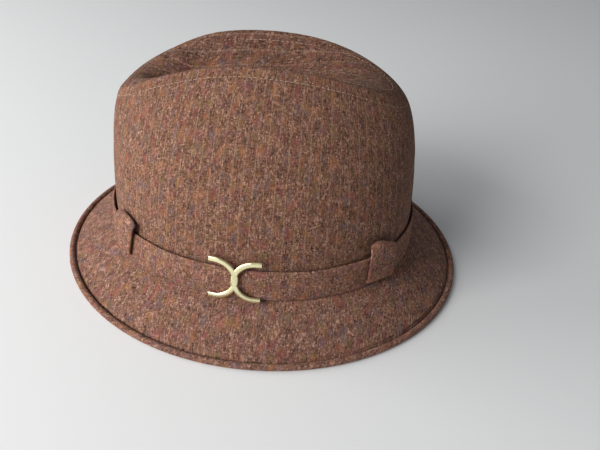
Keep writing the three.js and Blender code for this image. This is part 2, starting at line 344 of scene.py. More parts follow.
# %% [markdown]
# The tone of the brown comes from the streaks of the yarns, from fine specks that run up and across, and
# from wide soft patches. The crown, the tip, the brim and the band get one recipe with a tint for each, and
# the stripes are plainest on the crown. The tints make lit and shaded copies of one cloth. The tip's darker
# tint is painted shade in its crease. The lighter tint of the brim and its cord is painted light on their
# upward faces. The band and its loops are lighter and a little bluer.

# %% Tweed
BROWN_DARK = (0.036, 0.017, 0.012, 1)
BROWN_MID = (0.150, 0.074, 0.046, 1)
BROWN_PALE = (0.40, 0.235, 0.165, 1)
FUZZ_MM = (1.1, 1.1)
UPRIGHT_MM = (0.8, 3.2)
LEVEL_MM = (2.4, 0.9)
UPRIGHT_SHARE = 0.6
PATCH_MM = (5.0, 9.0)
TONE = {"streak": 1.5, "speck": 3.1, "patch": 0.7, "all": -2.15}
RELIEF = {"yarn": 0.6, "speck": 0.8, "fuzz": 0.5}


def tweed(name, tint, stripes=1.0):
    """Heather tweed, with a tint (painted light and shade on the tip and the brim) and a strength of its
    stripes for the piece cut from it.
    """
    cloth = ClothRecipe(name)
    fuzz = cloth.cloud(FUZZ_MM)
    streak, yarn_height = weave(cloth, fuzz)
    upright = cloth.cloud(UPRIGHT_MM, layer=3.0, roughness=0.65)
    level = cloth.cloud(LEVEL_MM, layer=15.0, roughness=0.65)
    speck = upright * UPRIGHT_SHARE + level * (1 - UPRIGHT_SHARE)
    patch = cloth.cloud(PATCH_MM, layer=11.0, detail=2.0)
    tone = streak * TONE["streak"] + speck * TONE["speck"] + patch * TONE["patch"] + TONE["all"]
    colour = cloth.mix(tone.ramp(0.05, 0.5), BROWN_DARK, BROWN_MID)
    colour = cloth.mix(tone.ramp(0.5, 1.0), colour, BROWN_PALE)
    colour = striped(cloth, flecked(cloth, colour), stripes)
    height = yarn_height * RELIEF["yarn"] + speck * RELIEF["speck"] + fuzz * RELIEF["fuzz"]
    return cloth.wear(
        # The tint is multiplied in last. On the tip it is painted shade and on the brim it is painted
        # light.
        Base_Color=cloth.mix(1.0, colour, tint, blend="MULTIPLY"),
        Roughness=speck.ramp(0.2, 0.8, 0.86, 0.98),
        Normal=cloth.bump(height, depth_mm=0.3, strength=0.55),
        Sheen_Weight=0.06,
        Sheen_Roughness=0.5,
        Sheen_Tint=(0.8, 0.6, 0.45, 1),
        Specular_IOR_Level=0.2,
    )


# One cloth in lit and shaded copies: the tip's darker tint is painted shade, and the brim's lighter tint is
# painted light.
crown_tweed = tweed("crown_tweed", tint=(0.93, 0.89, 0.91, 1))
tip_tweed_painted_shade = tweed("tip_tweed_painted_shade", tint=(0.72, 0.69, 0.73, 1))
brim_tweed_painted_light = tweed("brim_tweed_painted_light", tint=(1.12, 1.11, 1.22, 1), stripes=0.4)
band_tweed = tweed("band_tweed", tint=(1.13, 1.09, 1.18, 1), stripes=0.5)
print("one tweed has", len(crown_tweed.node_tree.nodes), "nodes")

# %% [markdown]
# The ornament is pale polished brass. Fine brushing runs along it and small dull patches break up its
# shine. The sewing thread is a tan cotton, twisted, and paler than the cloth. The floor is a pale matt
# paint with a faint cloud in it.

# %% Brass, thread and floor paint
BRASS = (0.99, 0.95, 0.60, 1)
BRASS_DULL = (0.80, 0.75, 0.38, 1)
DULL_PATCH_MM = 6.0
BRUSH_LONG_MM, BRUSH_WIDE_MM = 2.5, 0.25
PATCH_SHARE = 0.7
THREAD_TAN = (0.44, 0.31, 0.20, 1)
THREAD_DARK = (0.20, 0.13, 0.08, 1)
TWISTS_ACROSS, TWISTS_ALONG = 2.0, 3.0
FLOOR_GREY = (0.745, 0.755, 0.765, 1)
FLOOR_PALE = (0.775, 0.785, 0.795, 1)


def brass():
    recipe = Recipe("pale_brass")
    _, length, height = recipe.parts(recipe.node("ShaderNodeTexCoord", {}, [], output="Object"))
    length = length / MM
    height = height / MM
    cloud = recipe.noise(recipe.point(length / DULL_PATCH_MM, height / DULL_PATCH_MM), detail=3.0)
    brushing = recipe.noise(recipe.point(length / BRUSH_LONG_MM, height / BRUSH_WIDE_MM, 4.0))
    dull = (cloud * PATCH_SHARE + brushing * (1 - PATCH_SHARE)).ramp(0.42, 0.7)
    return recipe.wear(
        Base_Color=recipe.mix(dull * 0.5, BRASS, BRASS_DULL),
        Metallic=1.0,
        Roughness=dull.ramp(0.0, 1.0, 0.22, 0.42),
        Normal=recipe.bump(brushing, depth_mm=0.1, strength=0.15),
    )


def sewing_thread():
    cloth = ClothRecipe("tan_thread")
    twists = cloth.across * TWISTS_ACROSS + cloth.along * TWISTS_ALONG
    spots = cloth.cloud((1.0, 1.0), detail=2.0)
    return cloth.wear(
        Base_Color=cloth.mix(spots * 0.6, THREAD_TAN, THREAD_DARK),
        Roughness=0.7,
        Normal=cloth.bump(yarn_round(twists), depth_mm=0.1, strength=0.6),
        Sheen_Weight=0.1,
    )


def floor_paint():
    recipe = Recipe("pale_floor")
    cloud = recipe.noise(recipe.node("ShaderNodeTexCoord", {}, [], output="Object"), detail=3.0)
    colour = recipe.mix(cloud, FLOOR_GREY, FLOOR_PALE)
    return recipe.wear(Base_Color=colour, Roughness=0.6, Specular_IOR_Level=0.3)


pale_brass = brass()
tan_thread = sewing_thread()
floor_mesh.materials.append(floor_paint())
print("finishes:", [material.name for material in bpy.data.materials])

# %% [markdown]
# The hat's shape is a few curves. Seen from above, the head, the tip and the brim's edge are ovals, and
# one angle round the hat names the matching points of all three. These are the CAD's own curves. Each
# has its own length and roundness in front and behind.

# %% Ovals
HEAD = {"half_width": 85.3, "back": 103, "front": 103, "back_power": 2.08, "front_power": 2.08}
TIP = {"half_width": 31.5, "back": 83, "front": 92, "back_power": 2.16, "front_power": 3.75}
EDGE = {"half_width": 126, "back": 142.7, "front": 139.3, "back_power": 2, "front_power": 2}
CENTRE_Y = (EDGE["front"] - EDGE["back"]) / 2
COLUMNS_ROUND = 640
FINE_STEPS = 7200


def signed_power(value, power):
    return np.sign(value) * np.abs(value) ** power


def oval_point(oval, angle, grow=0.0):
    """A point of an oval. All are spaced as the head is, so that their points match."""
    share = signed_power(np.sin(angle), 2 / HEAD["back_power"])
    power = np.where(share > 0, oval["back_power"], oval["front_power"])
    half_length = np.where(share > 0, oval["back"], oval["front"]) + grow
    width = np.maximum(0, 1 - np.abs(share) ** power) ** (1 / power)
    return np.sign(np.cos(angle)) * (oval["half_width"] + grow) * width, half_length * share


def lengths_along(points):
    """Distance from a line's first point, or a grid's first row, to each one after it."""
    steps = np.linalg.norm(np.diff(points, axis=0), axis=-1)
    return np.concatenate([np.zeros_like(steps[:1]), np.cumsum(steps, axis=0)])


def even_angles(count):
    """Angles that step evenly along the head oval, and the distance round at each of them."""
    fine = np.linspace(-TURN / 4, TURN * 3 / 4, FINE_STEPS + 1)
    length = lengths_along(np.stack(oval_point(HEAD, fine), -1))
    wanted = np.linspace(0, length[-1], count + 1)
    return np.interp(wanted, length, fine), wanted


ANGLES, ROUND_MM = even_angles(COLUMNS_ROUND)
print("head opening", round(ROUND_MM[-1]), "mm round, outside the cloth")

# %% [markdown]
# Heights come next. The crown rises a little towards the back, and its ridge falls away to both ends. A
# hat blocked by hand is never quite even: the front of this one is fuller on the wearer's right.

# %% Heights
HEADLINE_Z = 21.5
BAND_TOP_Z = 44
CROWN_RISE = 0.018
RIDGE = {"middle": 148.4, "back": 128.1, "front": 119.4, "back_power": 2.3, "front_power": 1.92}
# The fuller place: its middle and half length along the hat, then where it starts and is full, out from
# the hat's middle and up from the floor
FULLER = {"lift": 1.9, "middle_y": -48, "half_length": 26, "out": (4, 26), "up": (100, 132)}


def ease(low, high, value):
    """Goes softly from 0 to 1 while a value goes from low to high."""
    share = np.clip((value - low) / (high - low), 0, 1)
    return share * share * (3 - 2 * share)


def bell(distance, width):
    """1 at no distance, fading softly to nearly 0 at twice the width."""
    return np.exp(-((distance / width) ** 2))


def blend(first, second, share):
    return first + (second - first) * share


def ridge_height(y):
    """Height of the seam along the hat, before the crown's rise."""
    end = np.where(y > 0, RIDGE["back"], RIDGE["front"])
    power = np.where(y > 0, RIDGE["back_power"], RIDGE["front_power"])
    half_length = np.where(y > 0, TIP["back"], TIP["front"])
    return blend(RIDGE["middle"], end, np.minimum(1, np.abs(y) / half_length) ** power)


def shoulder_lift(x, y, z):
    """How much fuller the front of the ridge is on the wearer's right than on the left."""
    along = bell(y - FULLER["middle_y"], FULLER["half_length"])
    return FULLER["lift"] * along * ease(*FULLER["out"], -x) * ease(*FULLER["up"], z)


print("ridge:", RIDGE)

# %% [markdown]
# A skin is a grid of points with a cloth map. It becomes a mesh through one function, which closes it
# round the hat. The cloth's thickness comes from a second skin, set back along the first one's normals.

# %% Skins to meshes
WELD_METRES = 1e-7


def to_part(points):
    """Millimetres in the hatter's frame to metres in the part's."""
    return (points + np.array([0, CENTRE_Y, 0])) * MM


def cloth_piece(name, points, faces, flat, finish):
    """A piece from its points, its faces, and the cloth map at each corner of each face."""
    mesh = bpy.data.meshes.new(name)
    mesh.from_pydata(to_part(points).tolist(), [], faces)
    layer = mesh.uv_layers.new(name="cloth")
    layer.data.foreach_set("uv", (flat * MM).astype(np.float32).ravel())
    mesh.shade_smooth()
    mesh.materials.append(finish)
    return add_object(name, mesh)


def edit_mesh(mesh, edit):
    """Runs one of bmesh's tools on a mesh."""
    opened = bmesh.new()
    opened.from_mesh(mesh)
    edit(opened)
    opened.to_mesh(mesh)
    opened.free()


def weld(opened):
    """Joins points that lie in one place, as they do where a skin closes to a point."""
    bmesh.ops.remove_doubles(opened, verts=opened.verts, dist=WELD_METRES)


def skin_piece(name, points, cloth, finish, tube=False):
    """A piece from a grid whose last column, and in a tube the last row too, repeats the first."""
    rows, columns = points.shape[:2]
    kept_rows = rows - 1 if tube else rows
    kept_columns = columns - 1
    row, column = np.meshgrid(np.arange(rows - 1), np.arange(columns - 1), indexing="ij")
    row, column = row.ravel(), column.ravel()
    corners = [(row, column), (row + 1, column), (row + 1, column + 1), (row, column + 1)]
    faces = np.stack([r % kept_rows * kept_columns + c % kept_columns for r, c in corners], 1)
    flat = np.stack([cloth[r, c] for r, c in corners], 1)
    kept_points = points[:kept_rows, :kept_columns].reshape(-1, 3)
    piece = cloth_piece(name, kept_points, faces.tolist(), flat, finish)
    edit_mesh(piece.data, weld)
    return piece


def settle(piece, slot, *nodes):
    """Puts a piece on the part: what carries it, its slot, which is not used, and the solids that it stands
    for.
    """
    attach(piece, "root")
    if nodes:
        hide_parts(*nodes)
    print(piece.name, len(piece.data.polygons), "faces")


def unit(vectors):
    """Vectors of length 1, or 0 where there is no direction."""
    return vectors / np.maximum(np.linalg.norm(vectors, axis=-1, keepdims=True), 1e-9)


def grid_normals(points, wraps=True):
    """Normals of a grid: outwards where its rows go down the hat and its columns round it."""
    down = np.gradient(points, axis=0)
    if wraps:
        ringed = np.concatenate([points[:, -2:-1], points, points[:, 1:2]], 1)
        along = ringed[:, 2:] - ringed[:, :-2]
    else:
        along = np.gradient(points, axis=1)
    return unit(np.cross(down, along))


def waves(points, height, size, seed):
    """Soft unevenness up to a height, of a given size."""
    flat = points.reshape(-1, 3) / size + seed
    return height * np.array([noise.noise(Vector(p)) for p in flat]).reshape(points.shape[:-1])


print("grid of", COLUMNS_ROUND, "columns round the hat")

# %% [markdown]
# The side crown is a curved wall from the brim up to the seam on the ridge. Each column is a nearly
# upright stretch behind the band and then one Bezier curve that leans in and arrives at the seam at a
# slope. One curve bends evenly, as blocked cloth does.

# %% Curve of the side crown
WALL_FLARE = 1.6
SEAM_LEVEL = 2
# Values at the side, the front and the back of the hat
SIDE_CURVE = {
    "low_handle": (0.44, 0.51, 0.51),
    "high_handle": (0.336, 0.178, 0.178),
    "lean_in": (0.1, 1.9, 1.9),
    "slope_degrees": (41.3, 50.7, 37.3),
}


def side_value(column, angle):
    """A value of the side crown's curve, mixed by the direction round the hat."""
    side, front, back = SIDE_CURVE[column]
    s = np.sin(angle)
    return blend(side, np.where(s > 0, back, front), s * s)


def bezier(start, first_handle, second_handle, end, t):
    rest = 1 - t
    near_start = rest ** 3 * start + 3 * t * rest ** 2 * first_handle
    return near_start + 3 * t * t * rest * second_handle + t ** 3 * end


def side_crown(angle, level):
    """Outer face of the side crown: 0 at the headline, 1 at the band's top, 2 at the seam."""
    angle, level = np.broadcast_arrays(np.asarray(angle, float), np.asarray(level, float))
    base_x, base_y = oval_point(HEAD, angle)
    low_x, low_y = oval_point(HEAD, angle, WALL_FLARE * np.clip(1 - level, 0, 1) ** 2)
    low_z = blend(HEADLINE_Z, BAND_TOP_Z, np.minimum(level, 1))
    seam_x, seam_y = oval_point(TIP, angle)
    reach = np.hypot(seam_x - base_x, seam_y - base_y)
    in_x, in_y = (seam_x - base_x) / reach, (seam_y - base_y) / reach
    height = ridge_height(seam_y) - BAND_TOP_Z
    slope = np.radians(side_value("slope_degrees", angle))
    lean = side_value("lean_in", angle)
    low = side_value("low_handle", angle) * height
    high = side_value("high_handle", angle) * height
    base = np.stack([base_x, base_y, np.full_like(base_x, BAND_TOP_Z)], -1)
    first_handle = base + np.stack([in_x * lean, in_y * lean, low], -1)
    top = np.stack([seam_x, seam_y, BAND_TOP_Z + height], -1)
    arrival = np.stack([in_x * np.cos(slope), in_y * np.cos(slope), np.sin(slope)], -1)
    second_handle = top - arrival * high[..., None]
    curve = bezier(base, first_handle, second_handle, top, np.clip(level - 1, 0, 1)[..., None])
    wall = np.stack([low_x, low_y, low_z], -1)
    point = np.where((level > 1)[..., None], curve, wall)
    x, y, z = point[..., 0], point[..., 1], point[..., 2]
    return np.stack([x, y, z + (CROWN_RISE * y + shoulder_lift(x, y, z))], -1)


seam_line = side_crown(ANGLES[:-1], SEAM_LEVEL)
print("seam from", round(seam_line[:, 2].min(), 1), "to", round(seam_line[:, 2].max(), 1), "mm up")

# %% [markdown]
# The side crown is sewn to the tip with a plain seam that is pressed down and topstitched on both sides.
# So the cloth next to it is double and stands a little proud, the seam itself is a small valley and the
# stitching a dimple. This is modelled as a height over the smooth face, so one function does both sides.

# %% Pressed seam
CLOTH = 2.4
CLOTH_AT_SEAM = 1.1
SEAM_TAPER = 6
TOPSTITCH_SIDE = 7.0
TOPSTITCH_TIP = 6.5
VALLEY_DEPTH = 0.6
DIMPLE_DEPTH = 0.35
DIMPLE_WIDTH = 0.55
DOUBLE_CLOTH = 0.4
# Where the double cloth rises out of the valley, and where it ends, past the stitching
DOUBLE_RISE = (0.3, 1.6)
DOUBLE_END = (-0.3, 2.6)
PRESSED_BEHIND = {"share": 0.75, "start_y": 15, "full_y": 60}


def seam_relief(distance, topstitch, y):
    """Height of the cloth over its smooth face. The seam is pressed flatter at the back."""
    valley = -VALLEY_DEPTH * bell(distance, DIMPLE_WIDTH)
    single = ease(topstitch + DOUBLE_END[0], topstitch + DOUBLE_END[1], distance)
    double = DOUBLE_CLOTH * ease(*DOUBLE_RISE, distance) * (1 - single)
    dimple = -DIMPLE_DEPTH * bell(distance - topstitch, DIMPLE_WIDTH)
    behind = ease(PRESSED_BEHIND["start_y"], PRESSED_BEHIND["full_y"], y)
    return (valley + double + dimple) * (1 - PRESSED_BEHIND["share"] * behind)


def cloth_thickness(distance):
    """Thickness of the crown's cloth, which is pressed thin at the seam."""
    return CLOTH_AT_SEAM + (CLOTH - CLOTH_AT_SEAM) * ease(0, SEAM_TAPER, distance)


def shell(outer, inner, cloth, name, finish):
    """A skin with thickness: down the outer face, round the edge and back up the inner one."""
    points = np.concatenate([outer, inner[::-1], outer[:1]])
    edge = cloth[-1:] + (cloth[-1:] - cloth[-2:-1])
    flat = np.concatenate([cloth, edge, cloth[::-1][1:], cloth[:1]])
    return skin_piece(name, points, flat, finish, tube=True)


print("cloth", CLOTH, "mm thick, and", CLOTH_AT_SEAM, "mm at the seam")

# %% [markdown]
# The wall's rows lie close together where the seam and the stitching are, and further apart below. Soft
# waves, and a fine pucker along the stitching, keep the wall from looking machined.

# %% Side crown
# Distances of the first rows from the seam
EDGE_ROWS = [0.15, 0.3, 0.5, 0.75, 1.05, 1.4, 1.9, 2.6, 3.5, 4.5, 5.4, 6.0, 6.4, 6.7, 7.0, 7.3, 7.6, 8.1]
EDGE_ROWS += [8.9, 10.2, 12.2, 15.0]
WALL_ROWS = 44
FINE_LEVELS = 401
PUCKER = {"height": 0.07, "spacing": 3.1, "width": 1.6}


def wall_levels():
    """Level of each row in each column, and the mean length of a column."""
    fine = np.linspace(SEAM_LEVEL, 0, FINE_LEVELS)
    down = lengths_along(side_crown(ANGLES[None, :], fine[:, None]))
    levels = []
    for reached in down.T:
        rest = np.linspace(EDGE_ROWS[-1], reached[-1], WALL_ROWS)[1:]
        levels.append(np.interp(np.concatenate([EDGE_ROWS, rest]), reached, fine))
    return np.array(levels).T, down[-1].mean()


side_levels, side_total = wall_levels()
side_face = side_crown(ANGLES[None, :], side_levels)
side_distance = lengths_along(side_face) + EDGE_ROWS[0]
side_normal = grid_normals(side_face)
pucker = PUCKER["height"] * np.sin(ROUND_MM / PUCKER["spacing"] * TURN)[None, :]
side_lift = seam_relief(side_distance, TOPSTITCH_SIDE, side_face[..., 1])
side_lift += pucker * bell(side_distance - TOPSTITCH_SIDE, PUCKER["width"])
side_lift += waves(side_face, height=0.55, size=42, seed=3.0) * ease(4, 30, side_distance)
side_lift += waves(side_face, height=0.16, size=11, seed=9.0) * ease(2, 12, side_distance)
side_outer = side_face + side_normal * side_lift[..., None]
side_inner = side_outer - side_normal * cloth_thickness(side_distance)[..., None]
side_map = np.stack([np.broadcast_to(ROUND_MM, side_distance.shape), side_total - side_distance], -1)
tweed_side_crown = shell(side_outer, side_inner, side_map, "tweed_side_crown", crown_tweed)
settle(tweed_side_crown, "tweed_cloth", "side_crown")

# %% [markdown]
# The tip is the long narrow panel on top, dented lengthwise. The crease is deep in front, pinched
# between the two ridges, and runs out before the back.

# %% Crease
DENT_DEPTH = 28
DENT = {"front_start": -89, "front_full": -52, "fade_start": -5, "fade_end": 78}
DENT_PINCH = {"share": 0.72, "tight": -90, "wide": -40}
DENT_ROUNDING = 0.16
DENT_POWER = 1.45


def crease_share(across, y):
    """Share of the crease's depth left at a share of the way from its middle to the seam."""
    rounded = np.hypot(across, DENT_ROUNDING) ** DENT_POWER
    flat = DENT_ROUNDING ** DENT_POWER
    full = math.hypot(1, DENT_ROUNDING) ** DENT_POWER
    wide = (rounded - flat) / (full - flat)
    narrow = ease(0, DENT_PINCH["share"], across)
    return 1 - blend(narrow, wide, ease(DENT_PINCH["tight"], DENT_PINCH["wide"], y))


def tip_top(x, y, across):
    """A point on the tip's smooth face, above a place seen from above."""
    start = ease(DENT["front_start"], DENT["front_full"], y)
    fade = 1 - ease(DENT["fade_start"], DENT["fade_end"], y)
    ridge = ridge_height(y)
    z = ridge - DENT_DEPTH * start * fade * crease_share(np.abs(across), y)
    return np.stack([x, y, z + CROWN_RISE * y + shoulder_lift(x, y, ridge)], -1)


print("crease", DENT_DEPTH, "mm deep")

# %% [markdown]
# The tip's grid goes straight across and straight along, so that the crease has even rows. A grid of
# rings would cross the narrow front of it with few points.

# %% Crown tip
TIP_ROWS = 260
TIP_HALF_COLUMNS = 46
row_angle = TURN / 2 * ease(0, 1, np.linspace(0, 1, TIP_ROWS)) - TURN / 4
half_x, row_y = oval_point(TIP, row_angle)
half_across = 1 - (1 - np.linspace(0, 1, TIP_HALF_COLUMNS)) ** 2
across = np.concatenate([-half_across[::-1], half_across[1:]])
tip_x = half_x[:, None] * across[None, :]
tip_y = np.broadcast_to(row_y[:, None], tip_x.shape)
tip_face = tip_top(tip_x, tip_y, np.broadcast_to(across[None, :], tip_x.shape))


def seam_distances(points):
    """Distance from each point of a grid to the nearest point of the seam."""
    tree = kdtree.KDTree(len(seam_line))
    for index, seam_point in enumerate(seam_line):
        tree.insert(seam_point, index)
    tree.balance()
    return np.array([tree.find(p)[2] for p in points.reshape(-1, 3)]).reshape(points.shape[:-1])


def there_and_back(outer, inner):
    """Columns across one grid, back across the other and the first again, with the rows turned over."""
    return np.concatenate([outer, inner[:, ::-1], outer[:, :1]], 1)[::-1]


tip_distance = seam_distances(tip_face)
tip_normal = -grid_normals(tip_face, wraps=False)
tip_normal[0] = tip_normal[1].mean(0)
tip_normal[-1] = tip_normal[-2].mean(0)
tip_lift = seam_relief(tip_distance, TOPSTITCH_TIP, tip_y)
tip_lift += waves(tip_face, height=0.35, size=30, seed=21.0) * ease(4, 14, tip_distance)
tip_outer = tip_face + tip_normal * tip_lift[..., None]
tip_inner = tip_outer - tip_normal * cloth_thickness(tip_distance)[..., None]
tip_points = there_and_back(tip_outer, tip_inner)
tip_map = np.stack([tip_x, tip_y], -1)
tweed_crown_tip = skin_piece("tweed_crown_tip", tip_points, there_and_back(tip_map, tip_map), tip_tweed_painted_shade)
settle(tweed_crown_tip, "tweed_cloth", "crown_tip")

# %% [markdown]
# The brim is sewn on round the headline and turned down all the way. A real one is two layers of cloth
# with a stiffener between, so it is a firm shell here and not a loose sheet. It dips just inside its
# corded edge, which makes the dark line seen round it.

# %% Brim
SEAM_GAP = 0.3
BRIM_THICKNESS = 2.4
BRIM_CURVE_POWER = 1.12
BRIM_EDGE_Z = 3.4
BRIM_DIP = 0.9
CORD_HEIGHT = 4.2
brim_share = np.concatenate([np.linspace(0, 0.9, 34), np.linspace(0.9, 1, 14)[1:]])


def brim_top(angle, share):
    """Top of the brim at a share of the way from the headline out to the cord."""
    inner_x, inner_y = oval_point(HEAD, angle, WALL_FLARE + SEAM_GAP)
    outer_x, outer_y = oval_point(EDGE, angle, -CORD_HEIGHT - SEAM_GAP)
    z = blend(HEADLINE_Z + CROWN_RISE * inner_y, BRIM_EDGE_Z, share ** BRIM_CURVE_POWER)
    x, y, z = np.broadcast_arrays(blend(inner_x, outer_x, share), blend(inner_y, outer_y, share), z)
    return np.stack([x, y, z], -1)


brim_face = brim_top(ANGLES[None, :], brim_share[:, None])
from_edge = lengths_along(brim_face[::-1])[::-1]
brim_lift = -BRIM_DIP * (1 - ease(0.2, 2.2, from_edge))
brim_lift += waves(brim_face, height=0.5, size=45, seed=33.0) * ease(2, 12, from_edge)
brim_lift += waves(brim_face, height=0.14, size=12, seed=39.0)
brim_outer = brim_face + grid_normals(brim_face) * brim_lift[..., None]
brim_under = brim_face - np.array([0, 0, BRIM_THICKNESS])
# The brim is cut flat, so its yarns run straight along and across the hat
brim_map = brim_face[..., [1, 0]]
tweed_brim = shell(brim_outer, brim_under, brim_map, "tweed_brim", brim_tweed_painted_light)
settle(tweed_brim, "tweed_cloth", "brim")

# %% [markdown]
# The corded edge is a strip cut on the bias and wrapped round a cord, so its weave runs at 45 degrees.
# It is a tube round the brim's edge whose underside is cut off level, because the hat rests on it.

# %% Corded edge
CORD_SIDES = 20
CORD_SINK = 0.1
BIAS = math.sqrt(0.5)
cord_radius = CORD_HEIGHT / 2
turns = np.linspace(0, TURN, CORD_SIDES + 1)[:, None]
cord_x, cord_y = oval_point(EDGE, ANGLES[None, :], -cord_radius - cord_radius * np.cos(turns))
cord_z = np.broadcast_to(cord_radius - CORD_SINK + cord_radius * np.sin(turns), cord_x.shape)
cord_points = np.stack([cord_x, cord_y, np.maximum(cord_z, 0)], -1)
edge_round = lengths_along(np.stack(oval_point(EDGE, ANGLES), -1))
wrap_mm, round_mm = np.broadcast_arrays(turns * cord_radius, edge_round[None, :])
cord_map = np.stack([(round_mm + wrap_mm) * BIAS, (round_mm - wrap_mm) * BIAS], -1)
tweed_piping = skin_piece("tweed_piping", cord_points, cord_map, brim_tweed_painted_light, tube=True)
settle(tweed_piping, "tweed_cloth", "brim_piping")

# %% [markdown]
# The band is a strip of the same cloth folded in half, so both its edges are soft folds. It isn't sewn
# down flat. Its top edge stands off the crown by a little more or less as it goes round, which gives the
# broken dark line above it. It is a soft flat section, carried round the crown at its own distance.

# %% Beside the crown
SOLVE_STEPS = 14
CURVE_MM = 140
HIGHEST_LEVEL = 1.6


def head_run(angle, step=1e-4):
    """How a point of the head oval moves for each radian of its angle."""
    ahead = np.stack(oval_point(HEAD, angle + step), -1)
    behind = np.stack(oval_point(HEAD, angle - step), -1)
    return (ahead - behind) / (2 * step)


def outwards(angle):
    """Level direction out of the crown."""
    run = unit(head_run(angle))
    return np.stack([run[..., 1], -run[..., 0], np.zeros(run.shape[:-1])], -1)


def beside_crown(angle, z, out):
    """A point a distance out from the side crown at a height, before the crown's rise."""
    angle, z, out = np.broadcast_arrays(angle, z, out)
    level = (z - HEADLINE_Z) / (BAND_TOP_Z - HEADLINE_Z)
    for _ in range(SOLVE_STEPS):
        point = side_crown(angle, np.maximum(level, 1))
        miss = z - (point[..., 2] - CROWN_RISE * point[..., 1])
        level = np.where(z > BAND_TOP_Z, np.clip(level + miss / CURVE_MM, 1, HIGHEST_LEVEL), level)
    return side_crown(angle, level) + outwards(angle) * out[..., None]


def soft_section(sides, wide_power, thick_power):
    """Points between -1 and 1 round a flat section. The lower its powers are, the squarer it is."""
    turn = np.linspace(0, TURN, sides + 1)
    return signed_power(np.cos(turn), wide_power), signed_power(np.sin(turn), thick_power)


def round_waves(count, layer):
    """Soft unevenness round the hat, with more waves for a larger count. It ends as it starts."""
    spots = np.stack([np.cos(ANGLES) * count, np.sin(ANGLES) * count, np.full_like(ANGLES, layer)], -1)
    return np.array([noise.noise(Vector(spot)) for spot in spots])


print("crown's half width 50 mm up:", round(beside_crown(0.0, 50.0, 0.0)[0], 1), "mm")

# %% Band
BAND = {"bottom_z": 21.9, "top_z": 44, "thickness": 2.1, "off_top": 0.9, "off_bottom": 0.3}
BAND_LOOSE = {"top": 1.0, "bottom": 0.4, "height": 0.5}
BAND_BULGE = 0.25
BAND_MAP_START = 1.0
BAND_SIDES = 40
band_wide, band_thick = soft_section(BAND_SIDES, 0.42, 0.75)
up = (0.5 - 0.5 * band_wide)[:, None]
out = (0.5 + 0.5 * band_thick)[:, None]
loose_top = round_waves(2.2, layer=4.0)
loose_bottom = round_waves(2.8, layer=9.0)
low_off = BAND["off_bottom"] + BAND_LOOSE["bottom"] * loose_bottom
high_off = BAND["off_top"] + BAND_LOOSE["top"] * loose_top
bulge = BAND_BULGE * np.sin(math.pi * up) * out
band_out = blend(low_off, high_off, up) + BAND["thickness"] * out + bulge
band_z = blend(BAND["bottom_z"], BAND["top_z"] + BAND_LOOSE["height"] * loose_bottom[None, :], up)
band_points = beside_crown(ANGLES[None, :], band_z, band_out)
band_height = BAND["top_z"] - BAND["bottom_z"]
strip_mm = BAND_MAP_START + lengths_along(np.concatenate([up * band_height, out * 2], 1))
band_map = np.stack(np.broadcast_arrays(ROUND_MM[None, :], strip_mm[:, None]), -1)
tweed_band = skin_piece("tweed_band", band_points[::-1], band_map[::-1], band_tweed, tube=True)
settle(tweed_band, "band_cloth", "hat_band")

# %% [markdown]
# Four loops hold the band. Each is a flat tube of cloth, 20 mm wide. It starts low on the band, goes up
# over it and folds back against the crown above. Its section is a soft flat oval, carried along a bent
# path, with more curve where the cloth folds. No two hang alike: each is pushed over, droops or stands
# off by its own amount.

# %% Path of a loop
LOOP_WIDTH = 20
LOOP_THICKNESS = 2.6
LOOP_SWELL = 0.35
LOOP_CORNER = 4
LOOP_SIDES = 36
LOOP_STATIONS = 40
# Height and distance from the side crown of a loop's outer face
LOOP_BENDS = [(24.6, 3.2), (26.6, 5.4), (33, 6.1), (42, 6.3)]
LOOP_BENDS += [(48, 6.2), (52.4, 5.4), (54.9, 3.6), (55.2, 2.2)]


def smooth_path(bends, count):
    """Catmull-Rom points through a short list of bends."""
    points = np.array(bends, float)
    ends = np.concatenate([[2 * points[0] - points[1]], points, [2 * points[-1] - points[-2]]])
    spans = len(points) - 1
    made = []
    for step in np.linspace(0, spans, count):
        index = min(int(step), spans - 1)
        t = step - index
        a, b, c, d = ends[index:index + 4]
        square = (2 * a - 5 * b + 4 * c - d) * t * t
        cube = (3 * b - a - 3 * c + d) * t ** 3
        made.append(0.5 * (2 * b + (c - a) * t + square + cube))
    return np.array(made)


loop_path = smooth_path(LOOP_BENDS, LOOP_STATIONS)
loop_run = unit(np.gradient(loop_path, axis=0))
loop_face = np.stack([-loop_run[:, 1], loop_run[:, 0]], 1)
loop_strip = lengths_along(loop_path)
loop_wide, loop_thick = soft_section(LOOP_SIDES, 0.38, 0.7)
print("a loop's strip is", round(loop_strip[-1], 1), "mm long")

# %% Loops
# Place round the hat in degrees. Then, in millimetres, how far the top is pushed along the angle, how
# far its far corner droops, and how far that side stands off
LOOPS = {
    "loop_front_left": {"degrees": -48, "push": 7, "droop": 1.5, "stand": 0},
    "loop_back_left": {"degrees": 52.6, "push": 0, "droop": 4.0, "stand": 2.2},
    "loop_back_right": {"degrees": 127, "push": 1, "droop": 0.5, "stand": 0.5},
    "loop_front_right": {"degrees": 230, "push": -2, "droop": 1.0, "stand": 0},
}


